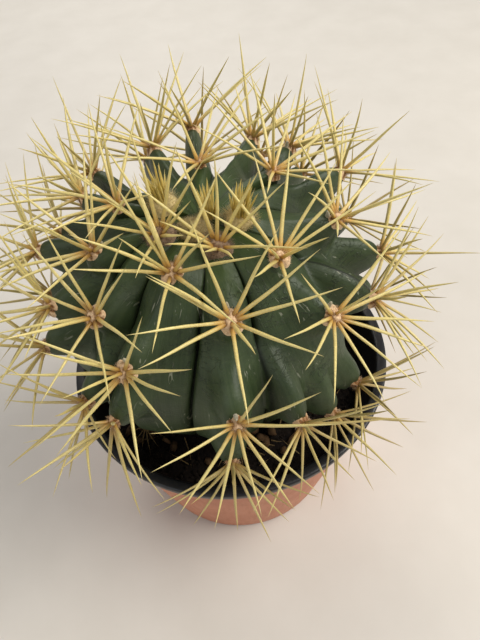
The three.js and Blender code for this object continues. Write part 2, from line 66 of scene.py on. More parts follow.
# A felt pad is smaller where the rib's flank is narrower than rib_width, by the least share at most,
# and at the back. The steep stars near the crown have larger ones.
AREOLE = Values(length=7.4, width=6.6, rise=2.4, seat=1.2, rib_width=7.0, least=0.8, rear_size=0.78,
                steep_size=1.12)
# The spines are slimmer than the model's, and their roots stand on a wider ring.
SPINE = Values(length=30.5, rear_gain=0.11, radius=0.74, slimness=0.8, ring_radius=2.65,
               young_ring_radius=1.5)
# How many spines of a star the model has: in stars drawn from the photo, in those low down and in others
BUILT_SPINES = dict(facing=7, low=6, others=7, low_below=20)
# The seeded rule for a star's spines, and what differs in the steep stars and the young tufts
DRAW = dict(count=10, stride=3, clock_spread=14, lift=(24, 38), central_lift=72, length=(0.93, 1.07),
            radius=(0.92, 1.08), sag=(0.03, 0.11), bow=(-0.035, 0.035), radius_share=1.0)
STEEP_DRAW = dict(lift=(36, 60))
YOUNG_DRAW = dict(count=11, lift=(74, 87), length_share=0.44, radius_share=0.9)
# How a spine is lifted and turned step by step, in degrees, until it clears everything by these gaps
CLEARING = Values(tries=26, lift=3, turn=2, most_lift=88, skin=1.3, pot=1.6, pad=1.15,
                  near=1.2, gap=0.35, shares=[0.12, 0.24, 0.36, 0.48, 0.6, 0.72, 0.84, 0.93, 1])

# Each rib lists its stars from the crown down as (bearing, height angle) in degrees.
# Bearing 0 faces the viewer and grows towards +X, and height angle 90 is the crown.
RIBS = [
    [(21, 80), (11, 57.5), (6, 21.5), (3, -4)],
    [(53, 66), (50, 40), (54, -7)],
    [(81, 80.5), (91.5, 49), (90, 20), (91, -8)],
    [(119, 34), (117, 4)],
    [(125, 64.5), (140, 39), (140, 12)],
    [(156, 42), (157, 15)],
    [(178, 72.5), (182, 44), (180, 14)],
    [(202, 51), (201, 19)],
    [(240, 80), (227, 38), (228, 8)],
    [(252.5, 67.5), (242.5, 46.5), (244, 12)],
    [(262, 28), (262, -2)],
    [(283, 60), (289, 34), (293, 15)],
    [(295, 79.5), (310, 49), (317, 14)],
    [(336, 72), (330, 38), (328, 13.5)],
]
# How far some noses reach, in shares of the globe's radius, where it isn't 1
REACHES = {(90, 20): 1.026, (119, 34): 1.08, (140, 39): 1.03, (156, 42): 1.01, (182, 44): 1.05,
           (227, 38): 1.027, (262, 28): 1.04}
# Where the furrow after a rib lies on the way to the next one, where that isn't halfway
FURROW_SHARES = {0: 0.3, 13: 0.6}
# Older noses low between the ribs, and the share of the globe's radius at their feet
LOW_NOSES = [(25.5, 8.5), (40, -7), (70, 23.5)]
LOW_NOSE = Values(foot=0.74, above=27.0, below=7.0, half_width=8.0, bluntness=1.25)
CROWN_STAR = (111, 88)
# Stars above this height stand steeply. The newest are short woolly tufts, listed with their felt's size.
STEEP_ABOVE = 73
YOUNG = {(81, 80.5): 1.05, (240, 80): 1.05, CROWN_STAR: 0.62}
# Clock angles of spines, the upright one first: 0 points to the crown, 90 to a larger bearing.
STAR_CLOCKS = {
    (11, 57.5): [172, 350, 40, 90, 130, 187, 255, 305, 70, 275, 315],
    (53, 66): [205, 330, 35, 85, 230, 280, 5, 300, 55, 95, 120],
    (336, 72): [220, 320, 15, 75, 115, 165, 270, 345, 50, 290, 240],
    (6, 21.5): [170, 50, 80, 135, 205, 235, 280, 315, 155, 20],
    (50, 40): [20, 285, 335, 75, 110, 155, 180, 260, 305, 210, 140],
    (330, 38): [0, 20, 55, 90, 130, 195, 255, 285, 330, 70, 210],
}

# Pale horns on the crown side of some stars, by their length, and the form that they share
HORNS = {(11, 57.5): 2.4, (6, 21.5): 3.9, (50, 40): 4.2, (53, 66): 2.2, (330, 38): 2.4, (283, 60): 2.2,
         (91.5, 49): 2.2, (140, 39): 2.2, (336, 72): 1.8}
HORN_FORM = Values(sides=10, shares=np.array([-0.3, 0.0, 0.3, 0.6, 0.85, 0.97]),
                   radii=np.array([0.72, 0.74, 0.70, 0.60, 0.48, 0.24]), gap=0.25, lean=0.45, bend=0.5)
# Dead spines of an old star in the hollow at the front left: where they meet, and their tips
DEAD_STAR = Values(middle=(-37.0, -26.3, 68.0), radius=0.42, bend=0.04,
                   tips=[(-43.0, -31.5, 64.5), (-39.0, -35.5, 64.0), (-35.0, -38.0, 63.5),
                         (-31.5, -35.0, 64.0), (-28.8, -31.0, 65.0), (-43.5, -27.5, 66.0)])
# Brown clods in the pot as (x, y, height, size)
CLODS = [(-37.4, -25.6, 67.0, 2.4), (-39.0, -25.0, 65.8, 2.2), (-35.4, -27.6, 65.0, 2.1),
         (-40.2, -30.0, 63.0, 1.6), (-29.0, -30.8, 62.6, 1.5), (7.1, -29.7, 62.6, 2.0),
         (9.6, -32.8, 62.2, 1.8), (14.5, -30.5, 62.6, 2.1), (4.3, -33.8, 62.2, 1.5),
         (31.8, -22.6, 63.0, 1.7)]
# Loose lumps on the soil, crumbs and then bark chips. The higher the skew, the rarer are large ones.
LUMPS = [Values(count=1500, size=(0.4, 1.5), skew=3, from_edge=1, height=0.1, flat=1.0, look=0),
         Values(count=70, size=(1.3, 3.3), skew=1, from_edge=4, height=0.5, flat=0.35, look=1)]
# A lump's tilt, its length, width and height in shares of its size, and how far its corners stray
CRUMB = Values(tilt=1.2, reaches=[(0.7, 1.6), (0.6, 1.1), (0.6, 1.0)], stray=(0.75, 1.25))
# Dried spines that lie on the soil
FALLEN = Values(count=45, from_middle=30, from_edge=3, height=0.6, length=(5, 18), tilt=2.5, radius=0.32,
                bend=0.08)

# Felt shrinks to this share and darkens from the upper height angle down to the lower one.
OLD_FELT = Values(heights=(-5, 45), size=0.74)
# The dimple where a spine leaves its felt: its start past the root, the rise of its run, its radius and depth
SOCKET = Values(start=-0.1, run=0.3, radius=0.78, depth=0.7)
# A pad's surface: its wavering edge, dome and ripples, how far it and its skirt go into the skin, and
# its tones when new and old
PAD = Values(waver=(0.06, 0.05), dome=2.6, ripple=0.14, sunk=0.2, skirt=1.6, tones=(0.3, 1.0))
# How a pad of wool is wider and higher than one of felt, and its dimples shallower
WOOLLY = Values(wider=0.15, higher=0.3, shallower=0.5, hair_spread=0.25)
# A spine's form: the waves of its middle line past a steady root, its fullness, the swelling at its root,
# knots and ridges. Its tone strays from an age that goes with its star's.
NEEDLE = Values(wander=0.13, waves=7, steady=0.3, full=2.1, sharp=0.85, swell=0.34, swell_run=0.05,
                knots=0.11, ridges=0.07, flat=(0.72, 0.95), tones=0.5, ages=(0.1, 0.75))
# Hairs on felt and on wool. They crowd to the edge, stand on the dome, lean out and stray.
FELT_HAIRS = Values(crowding=0.45, dome=(0.5, 4, 0.3), outwards=(0.25, 0.85), by_foot=0, upright=(0.5, 1.0),
                    stray=0.8, radius=0.05, bend=0.12)
WOOL_HAIRS = Values(crowding=0.6, dome=(0.4, 3, 0.4), outwards=(0, 0), by_foot=1 / 9, upright=(0.35, 0.85),
                    stray=1.3, radius=0.07, bend=0.25)
# How many hairs a kind of pad has, their lengths, and how woolly the pad is
HAIR_COUNTS = dict(young=700, steep=800, others=240, wool=3600)
HAIR_LENGTHS = dict(young=(1.2, 3.12), steep=(0.95, 2.47), others=(0.5, 1.3), wool=(1.2, 2.8))
WOOL_SHARES = dict(young=1.0, steep=0.6, others=0.0)
BRISTLES = Values(count=70, ring=2.1, length=(0.45, 0.85), flare=0.11, radius=0.3, bend=0.03)
SEEDS = Values(spines=300, pads=500, hairs=900, bristles=1300, wool=78, soil=4242)

# Fineness of the meshes. The stem ends in two rings that lie these degrees under its bottom row.
STEM_MESH = Values(flank_columns=13, crowding=1.5, row_step=0.95, top=88.5, bottom=-70.0, under=(3, 6))
SPINE_MESH = Values(sides=8, rings=15, reach=(-0.03, 0.985))
PAD_MESH = Values(sides=64, rings=[1.12, 1.0, 0.96, 0.91, 0.85, 0.78, 0.70, 0.62, 0.54, 0.45, 0.36, 0.27,
                                   0.18, 0.09])
SOIL_MESH = Values(sides=220, rings=56, bottom=4.0)
HAIR_MESH = Values(corners=(0.0, 2.1, 4.2), waist=0.7)


# Small helpers
def seeded(seed):
    """Repeatable numbers from 0 to 1."""
    state = (seed * 7919 + 12345) & 0xFFFFFFFF
    while True:
        state = (state * 1664525 + 1013904223) & 0xFFFFFFFF
        yield state / 4294967296


def lerp(low, high, share):
    return low + (high - low) * share


def smooth(low, high, value):
    share = np.clip((value - low) / (high - low), 0, 1)
    return share * share * (3 - 2 * share)


def wrap(degrees):
    return (np.asarray(degrees, float) + 180) % 360 - 180


def unit(vector):
    return vector / np.linalg.norm(vector, axis=-1, keepdims=True)


def round_angles(count):
    return TURN * np.arange(count) / count


def circles(radii, heights, count):
    """A level circle of points round the pot's axis for each radius and height."""
    angles = round_angles(count)
    radii, heights = np.broadcast_arrays(np.reshape(radii, (-1, 1)), np.reshape(heights, (-1, 1)))
    return np.stack([radii * np.cos(angles), radii * np.sin(angles), heights + 0 * angles], axis=-1)


def times(colour, factor):
    return tuple(min(1.0, factor * part) for part in colour)


# Plant frame and globe
def plant_axes():
    front, right = np.radians(GLOBE.lean_front), np.radians(GLOBE.lean_right)
    up = np.array([sin(right), -sin(front) * cos(right), cos(front) * cos(right)])
    ahead = np.array([0.0, -1.0, 0.0])
    ahead = unit(ahead - ahead.dot(up) * up)
    return up, ahead, np.cross(up, ahead)


PLANT_UP, PLANT_FRONT, PLANT_RIGHT = plant_axes()
NECK_PLACE = GLOBE.centre - PLANT_UP * GLOBE.half_height * NECK.down


def outward(bearing):
    angle = np.radians(bearing)[..., None]
    return np.sin(angle) * PLANT_RIGHT + np.cos(angle) * PLANT_FRONT


def globe_radius(height):
    return GLOBE.radius * np.cos(np.radians(height)) ** (2 / GLOBE.power)


def globe_height(height):
    sine = np.sin(np.radians(height))
    return GLOBE.half_height * np.sign(sine) * np.abs(sine) ** (2 / GLOBE.power)


def globe_point(bearing, height, scale):
    bearing, height, scale = np.broadcast_arrays(np.asarray(bearing, float), height, scale)
    flat = (scale * globe_radius(height))[..., None] * outward(bearing)
    return GLOBE.centre + flat + (scale * globe_height(height))[..., None] * PLANT_UP


# Skin of the stem
def crest_bearing(rib, height):
    knots = sorted((star[1], star[0]) for star in rib)
    return np.interp(height, [h for h, _ in knots], [b for _, b in knots])


def nose_lift(bearing, height, star, form, half_width):
    """How far a nose lifts the skin, from 0 to 1."""
    along = np.hypot(globe_radius(height) - globe_radius(star[1]),
                     globe_height(height) - globe_height(star[1]))
    across = np.radians(wrap(bearing - star[0])) * globe_radius(height)
    reach = np.where(height > star[1], form.above, form.below)
    return np.exp(-(((along / reach) ** 2 + (across / half_width) ** 2) ** form.bluntness))


FURROWS = np.array([FURROW_SHARES.get(number, 0.5) for number in range(len(RIBS))])


def rib_at(bearing, height):
    """Number of the rib here, the offset from its crest and the crest's way to the furrow, in degrees."""
    crests = np.array([wrap(crest_bearing(rib, height) - bearing) for rib in RIBS])
    after, before = np.where(crests >= 0, crests, 360), np.where(crests < 0, crests, -360)
    after_rib, before_rib = after.argmin(axis=0), before.argmax(axis=0)
    after, before = after.min(axis=0), before.max(axis=0)
    share, gap = FURROWS[before_rib], after - before
    on_before = before + share * gap > 0
    number = np.where(on_before, before_rib, after_rib)
    return number, np.where(on_before, -before, after), np.where(on_before, share, 1 - share) * gap


def rear_share(bearing):
    """From 0 at the front of the plant to 1 at its back."""
    return (1 - np.cos(np.radians(bearing - RIB.front_bearing))) / 2


def skin_scale(bearing, height):
    """The skin as a share of the globe: crests and noses near 1, furrows well below."""
    bearing, height = np.broadcast_arrays(np.asarray(bearing, float), np.asarray(height, float))
    number, offset, half = rib_at(bearing, height)
    rear = rear_share(bearing)
    base = 1 - SKIN.base_loss * smooth(*SKIN.base_fade, -height)
    depth = lerp(RIB.front_depth, RIB.back_depth, rear) / GLOBE.radius
    furrow = depth * base * lerp(1, SKIN.furrow_at_crown, smooth(*SKIN.furrow_fade, height))
    dip = base * lerp(SKIN.dip, SKIN.dip_at_crown, smooth(*SKIN.dip_fade, height))
    half_width = lerp(NOSE.half_width, NOSE.rear_half_width, rear)
    half_width = np.minimum(half_width, NOSE.rib_share * np.radians(half) * globe_radius(height))
    half_width = np.maximum(half_width, 0.1)
    lift, reach = np.zeros_like(bearing), np.zeros_like(bearing)
    for i, rib in enumerate(RIBS):
        for star in rib:
            here = np.where(number == i, nose_lift(bearing, height, star, NOSE, half_width), 0)
            lift = np.maximum(lift, here)
            reach = np.maximum(reach, (REACHES.get(star, 1) - 1) * here)
    flank = offset / half
    hollow = flank ** lerp(1, RIB.fin_power, rear)
    slope = lerp(flank ** RIB.crease_power, hollow, lerp(RIB.plain_share, 1, rear))
    scale = 1 - (furrow * slope + dip * (1 - slope)) * (1 - lift) + reach
    for star in LOW_NOSES:
        share = nose_lift(bearing, height, star, LOW_NOSE, LOW_NOSE.half_width)
        scale = np.maximum(scale, lerp(LOW_NOSE.foot, 1, share))
    sunk = 1 - SKIN.sunk * np.exp(-(((90 - height) / SKIN.sunk_width) ** 2))
    taper = 1 - SKIN.taper * smooth(SKIN.taper_from, 90, -height)
    return scale * sunk * taper


def depth_in_stem(points):
    """How deep points lie under the skin, negative outside."""
    offset = points - GLOBE.centre
    tall = offset @ PLANT_UP
    flatwise = offset - tall[..., None] * PLANT_UP
    bearing = np.degrees(np.arctan2(flatwise @ PLANT_RIGHT, flatwise @ PLANT_FRONT))
    flat = (np.linalg.norm(flatwise, axis=-1) / GLOBE.radius) ** (GLOBE.power / 2)
    high = (np.abs(tall) / GLOBE.half_height) ** (GLOBE.power / 2)
    height = np.sign(tall) * np.degrees(np.arctan2(high, flat))
    level = (flat ** 2 + high ** 2) ** (1 / GLOBE.power)
    return (skin_scale(bearing, height) - level) * np.linalg.norm(offset, axis=-1) / level


# Pot and soil forms
def outer_wall(z):
    slope = (POT.wall_radius - POT.foot_radius) / (POT.height - POT.lip_drop)
    return POT.foot_radius + slope * z


def inner_wall(z):
    return outer_wall(z) - POT.wall


def soil_height(x, y):
    lumps = np.sin(x * 0.31 + 1.2) * np.cos(y * 0.27)
    lumps = lumps + 0.6 * np.sin(x * 0.17 - y * 0.41) + 0.4 * np.cos(x * 0.63 + y * 0.52)
    return SOIL.level + SOIL.lump * lumps / 2


# Stars: where the spines grow
def star_frame(place):
    """Directions at a place: out of the globe, to a larger bearing and to the crown."""
    bearing, height = place
    power = GLOBE.power - 1
    flat = globe_radius(height) / GLOBE.radius
    tall = globe_height(height) / GLOBE.half_height
    out = outward(np.array(float(bearing))) * flat ** power / GLOBE.radius
    out = unit(out + PLANT_UP * np.sign(tall) * abs(tall) ** power / GLOBE.half_height)
    side = outward(np.array(bearing + 90.0))
    up = unit(np.cross(side, out))
    return out, side, up if up.dot(PLANT_UP) > 0 else -up


def spine_root(spine, star):
    """How far from the middle of its star a spine's root lies."""
    ring = SPINE.young_ring_radius
    if not star.young:
        ring = SPINE.ring_radius * cos(radians(spine.lift))
    return star.felt * ring


def spine_line(spine, star, share):
    """Points on a spine's middle line: straight out of its root, then bending to the stem and aside."""
    share = np.asarray(share, float)[..., None]
    clock, lift = np.radians(spine.clock), np.radians(spine.lift)
    along = star.up * cos(clock) + star.side * sin(clock)
    bend = np.cross(star.out, along) * spine.length * spine.bow * share ** 2
    reach = spine_root(spine, star) + spine.length * share * cos(lift)
    rise = spine.length * (share * sin(lift) - spine.sag * share ** 2)
    return star.seat + along * reach + bend + star.out * rise


def blocked(points):
    """Whether a line of points runs into the stem, the pot's wall or lip, or the soil."""
    if (depth_in_stem(points) > -CLEARING.skin).any():
        return True
    x, y, z = points.T
    radius, margin = np.hypot(x, y), CLEARING.pot
    in_soil = (z < soil_height(x, y) + margin) & (radius < outer_wall(z))
    outside = np.where(z > POT.height - POT.lip_drop - margin, POT.rim_radius, outer_wall(z))
    in_wall = (radius > inner_wall(z) - margin) & (radius < outside + margin) & (z < POT.height + margin)
    return bool((in_soil | in_wall).any())


def segment_gaps(line, others):
    """Least distances between the stretches of one line of points and those of other lines."""
    start, run = line[:-1, None, None], np.diff(line, axis=0)[:, None, None]
    start_b, run_b = others[None, :, :-1], np.diff(others, axis=1)[None]
    share = np.full(run.shape[:1] + run_b.shape[1:3], 0.5)
    for _ in range(4):
        point = start + share[..., None] * run
        share_b = np.clip(((point - start_b) * run_b).sum(-1) / (run_b ** 2).sum(-1), 0, 1)
        point_b = start_b + share_b[..., None] * run_b
        share = np.clip(((point_b - start) * run).sum(-1) / (run ** 2).sum(-1), 0, 1)
    return np.linalg.norm(start + share[..., None] * run - point_b, axis=-1)


def make_star(place, number):
    """A star at its place: its frame, its felt's size and its spines, drawn by its number."""
    bearing, height = place
    draw = seeded(number + 1)
    out, side, up = star_frame(place)
    _, _, half = rib_at(np.array([bearing], float), np.array([height], float))
    rib_share = float(np.radians(half[0]) * globe_radius(height)) / AREOLE.rib_width
    size = min(max(rib_share, AREOLE.least), 1.0) * lerp(1, AREOLE.rear_size, rear_share(bearing))
    surface = globe_point(bearing, height, skin_scale(bearing, height))
    young = place in YOUNG
    steep = not young and height > STEEP_ABOVE
    clocks = STAR_CLOCKS.get(place)
    kind = "facing" if clocks else "low" if height < BUILT_SPINES["low_below"] else "others"
    star = Values(place=place, number=number, young=young, steep=steep, out=out, side=side, up=up,
                  size=YOUNG.get(place, AREOLE.steep_size if steep else size), surface=surface,
                  seat=surface + AREOLE.seat * out, built=BUILT_SPINES[kind],
                  length=AREOLE.length, width=AREOLE.width, rise=AREOLE.rise)
    star.age = 0.0 if young else 1 - float(smooth(*OLD_FELT.heights, height))
    star.felt = star.size * lerp(1, OLD_FELT.size, star.age)
    own_rule = YOUNG_DRAW if young else STEEP_DRAW if steep else {}
    rule = Values(**{**DRAW, **own_rule})
    count = len(clocks) if clocks else rule.count
    turn = 360 * next(draw)
    rearward = 1 + SPINE.rear_gain * (1 - cos(radians(bearing))) / 2
    usual_length = SPINE.length * (rule.length_share if young else rearward)
    star.spines = []
    for i in range(count):
        even = turn + 360 / count * (i * rule.stride % count) + rule.clock_spread * (next(draw) - 0.5)
        lift = lerp(*rule.lift, next(draw))
        length = usual_length * lerp(*rule.length, next(draw))
        radius = SPINE.radius * rule.radius_share * lerp(*rule.radius, next(draw)) * SPINE.slimness
        sag, bow = lerp(*rule.sag, next(draw)), lerp(*rule.bow, next(draw))
        if i == 0 and not young:
            lift = rule.central_lift
        clock = clocks[i] if clocks else even
        star.spines.append(Values(clock=clock, lift=lift, length=length, radius=radius, sag=sag, bow=bow))
    return star


def clear_spines(stars):
    """Lifts and turns each spine until it clears the stem, the pot, the soil and the other stars.

    The spines that the model has come first, so that the others give way to them.
    """
    placed = {star.number: [] for star in stars}
    kept = {star.number: [] for star in stars}
    seats = np.array([star.seat for star in stars])
    rooms = np.array([CLEARING.pad + star.size * AREOLE.length / 2 for star in stars])
    for in_model in (True, False):
        for star in stars:
            other_pads = np.delete(seats, star.number, axis=0), np.delete(rooms, star.number)
            others = [line for number, lines in placed.items() if number != star.number for line in lines]
            own = []
            for spine in star.spines[:star.built] if in_model else star.spines[star.built:]:
                line = cleared_line(spine, star, other_pads, np.array(others))
                if line is not None:
                    own.append(line)
                    kept[star.number].append(spine)
            placed[star.number] += own
    for star in stars:
        star.spines = kept[star.number]


def cleared_line(spine, star, other_pads, others):
    """The points of a spine's line once it is clear, or None where it can't be."""
    lift, clock = spine.lift, spine.clock
    for attempt in range(CLEARING.tries):
        steps = (attempt + 1) // 2
        spine.lift = lift + CLEARING.lift * steps
        spine.clock = clock + (1 if attempt % 2 else -1) * CLEARING.turn * steps
        if spine.lift > CLEARING.most_lift:
            return None
        line = spine_line(spine, star, CLEARING.shares)
        to_pads = np.linalg.norm(line[:, None] - other_pads[0], axis=-1)
        if (to_pads < other_pads[1]).any() or blocked(line[1:]):
            continue
        if len(others):
            middle = len(line) // 2
            apart = np.linalg.norm(others[:, middle] - line[middle], axis=-1)
            near = others[apart < SPINE.length * CLEARING.near]
            if len(near) and segment_gaps(line, near).min() < 2 * SPINE.radius + CLEARING.gap:
                continue
        return line
    return None


# Mesh making
def add_object(name, data):
    """A new object in the scene."""
    obj = bpy.data.objects.new(name, data)
    bpy.context.collection.objects.link(obj)
    return obj


def set_points(mesh, name, values, kind="FLOAT", field="value"):
    """Keeps values at a mesh's points, for its materials to read."""
    attribute = mesh.attributes.new(name, kind, "POINT")
    attribute.data.foreach_set(field, np.asarray(values, np.float32).ravel())


class Build:
    """Points and faces gathered for one piece, with two numbers from 0 to 1 at each point: mark and tone."""

    def __init__(self):
        self.points, self.faces, self.marks, self.tones, self.looks, self.count = [], [], [], [], [], 0

    def add(self, points, faces, mark=0.0, look=0, tone=0.5):
        points = np.asarray(points, float).reshape(-1, 3)
        self.points.append(points)
        self.faces += [[self.count + i for i in face] for face in faces]
        self.marks.append(np.broadcast_to(np.asarray(mark, float), len(points)))
        self.tones.append(np.full(len(points), float(tone)))
        self.looks += [look] * len(faces)
        self.count += len(points)

    def add_rings(self, rings, tip, *rest):
        """Rings of points that close in a tip."""
        faces = ring_faces(len(rings), rings.shape[1], last_cap=True)
        self.add(np.vstack([rings.reshape(-1, 3), tip]), faces, *rest)

    def piece(self, name, looks, node, slot):
        """The finished piece, which replaces a node of the model."""
        mesh = bpy.data.meshes.new(name)
        mesh.from_pydata((np.concatenate(self.points) * MM).tolist(), [], self.faces)
        set_points(mesh, "mark", np.concatenate(self.marks))
        set_points(mesh, "tone", np.concatenate(self.tones))
        for look in looks:
            mesh.materials.append(look)
        mesh.polygons.foreach_set("material_index", self.looks)
        mesh.polygons.foreach_set("use_smooth", [True] * len(mesh.polygons))
        mesh.update()
        piece = add_object(name, mesh)
        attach(piece, "root")
        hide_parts(node)
        return piece


def ring_faces(rings, count, first_cap=False, last_cap=False):
    """Faces between rings. The points that close the last ring and then the first one follow the rings."""
    faces = []
    for ring in range(rings - 1):
        for i in range(count):
            k = (i + 1) % count
            low, high = ring * count, (ring + 1) * count
            faces.append((low + i, low + k, high + k, high + i))
    end = rings * count
    if last_cap:
        faces += [((rings - 1) * count + i, (rings - 1) * count + (i + 1) % count, end) for i in range(count)]
    if first_cap:
        faces += [((i + 1) % count, i, end + int(last_cap)) for i in range(count)]
    return faces


def spine_mesh(build, spine, star, draw, look=0, age=0.0):
    """A slightly ridged and knotty needle that swells at its root."""
    sides = SPINE_MESH.sides
    shares = np.append(np.linspace(*SPINE_MESH.reach, SPINE_MESH.rings), 1.0)
    centres = spine_line(spine, star, shares)
    ahead = unit(spine_line(spine, star, shares + 0.01) - centres)
    side = unit(np.cross(ahead, star.out))
    over = np.cross(side, ahead)
    wander = NEEDLE.wander * np.sin(NEEDLE.waves * shares + TURN * next(draw))
    centres = centres + side * (wander * np.clip(shares / NEEDLE.steady, 0, 1))[:, None]
    body = np.clip(1 - np.clip(shares, 0, 1) ** NEEDLE.full, 0, 1) ** NEEDLE.sharp
    swell = 1 + NEEDLE.swell * np.exp(-((shares / NEEDLE.swell_run) ** 2))
    knots = 1 + NEEDLE.knots * (np.array([next(draw) for _ in shares]) - 0.5)
    radius = spine.radius * body * swell * knots
    angles = TURN * (np.arange(sides) / sides + next(draw))
    ridges = 1 + NEEDLE.ridges * (-1.0) ** np.arange(sides)
    flat = lerp(*NEEDLE.flat, next(draw))
    across, over = (np.cos(angles) * ridges)[:, None] * side[:, None], over[:, None]
    ring = across + (flat * np.sin(angles) * ridges)[:, None] * over
    points = (centres[:, None] + radius[:, None, None] * ring)[:-1]
    marks = np.append(np.repeat(np.clip(shares[:-1], 0, 1), sides), 1.0)
    tone = min(max(age + NEEDLE.tones * (next(draw) - 0.5), 0), 1)
    build.add_rings(points, centres[-1], marks, look, tone)


def hair_mesh(build, roots, ends, radius, draw, look=0, bend=0.0, marks=(0, 0, 0)):
    """Fine three-sided hairs from roots to ends, bent aside halfway, with marks at root, middle and end."""
    for root, end in zip(roots, ends):
        ahead = end - root
        any_side = np.array([next(draw) - 0.5, next(draw) - 0.5, next(draw) - 0.5])
        side = unit(np.cross(ahead, any_side + 1e-6))
        over = unit(np.cross(ahead, side))
        middle = (root + end) / 2 + bend * np.linalg.norm(ahead) * side
        corners = [(cos(a) * side + sin(a) * over) * radius for a in HAIR_MESH.corners]
        points = [root + c for c in corners] + [middle + HAIR_MESH.waist * c for c in corners] + [end]
        build.add(points, HAIR_FACES, np.repeat(marks, (3, 3, 1)), look, next(draw))


HAIR_FACES = ring_faces(2, 3, last_cap=True)


# Materials
class Look:
    """A node material under construction."""

    def __init__(self, name, roughness, **sockets):
        self.material = bpy.data.materials.new(name)
        self.material.use_nodes = True
        self.nodes, self.links = self.material.node_tree.nodes, self.material.node_tree.links
        self.shader = self.nodes["Principled BSDF"]
        self.shader.inputs["Roughness"].default_value = roughness
        for socket, value in sockets.items():
            self.shader.inputs[socket.replace("_", " ")].default_value = value

    def node(self, kind, inputs=None, **settings):
        node = self.nodes.new(kind)
        for setting, value in settings.items():
            setattr(node, setting, value)
        for socket, value in (inputs or {}).items():
            self.plug(value, node.inputs[socket])
        return node

    def plug(self, value, socket):
        """Links another node's output to a socket, or gives the socket a value."""
        if isinstance(value, bpy.types.NodeSocket):
            self.links.new(value, socket)
        else:
            socket.default_value = (*value, 1) if socket.type == "RGBA" else value

    def place(self, scale=(1, 1, 1), attribute=None):
        """Object coordinates, or a named attribute's, in stretched metres."""
        if attribute:
            source = self.node("ShaderNodeAttribute", attribute_name=attribute).outputs["Vector"]
        else:
            source = self.node("ShaderNodeTexCoord").outputs["Object"]
        return self.node("ShaderNodeMapping", {"Vector": source, "Scale": scale}).outputs["Vector"]

    def noise(self, size_mm, detail=4.0, roughness=0.55, scale=(1, 1, 1), attribute=None, distortion=0.0):
        """Cloudy noise whose lumps are about size_mm across."""
        inputs = {"Vector": self.place(scale, attribute), "Scale": 1 / (size_mm * MM), "Detail": detail,
                  "Roughness": roughness, "Distortion": distortion}
        return self.node("ShaderNodeTexNoise", inputs).outputs["Fac"]

    def mark(self, name="mark"):
        return self.node("ShaderNodeAttribute", attribute_name=name).outputs["Fac"]

    def ramp(self, source, stops):
        """Colours or greys along a value, from (position, colour) stops."""
        node = self.node("ShaderNodeValToRGB", {"Fac": source})
        elements = node.color_ramp.elements
        while len(elements) < len(stops):
            elements.new(0.5)
        for element, (position, colour) in zip(elements, stops):
            element.position = position
            element.color = (*colour, 1) if isinstance(colour, tuple) else (colour, colour, colour, 1)
        return node.outputs["Color"]

    def mix(self, share, low, high):
        """The colour low, and as much of high as the share says."""
        node = self.node("ShaderNodeMix", {0: share}, data_type="RGBA")
        self.plug(low, node.inputs[6])
        self.plug(high, node.inputs[7])
        return node.outputs[2]

    def stain(self, base, source, start, end, share, colour):
        """The base under a colour that comes in, up to a share, where a value goes from start to end."""
        return self.mix(self.ramp(source, [(start, 0.0), (end, share)]), base, colour)

    def math(self, operation, first, second):
        return self.node("ShaderNodeMath", {0: first, 1: second}, operation=operation).outputs[0]

    def colour(self, source):
        self.links.new(source, self.shader.inputs["Base Color"])

    def roughness(self, source, low, high):
        inputs = {"Value": source, "To Min": low, "To Max": high}
        rough = self.node("ShaderNodeMapRange", inputs).outputs["Result"]
        self.links.new(rough, self.shader.inputs["Roughness"])

    def bump(self, layers):
        """Bumps from (height, depth in mm) layers, each on top of the last."""
        normal = None
        for height, depth in layers:
            inputs = {"Height": height, "Distance": depth * MM, "Strength": 1.0}
            if normal is not None:
                inputs["Normal"] = normal
            normal = self.node("ShaderNodeBump", inputs).outputs["Normal"]
        self.links.new(normal, self.shader.inputs["Normal"])


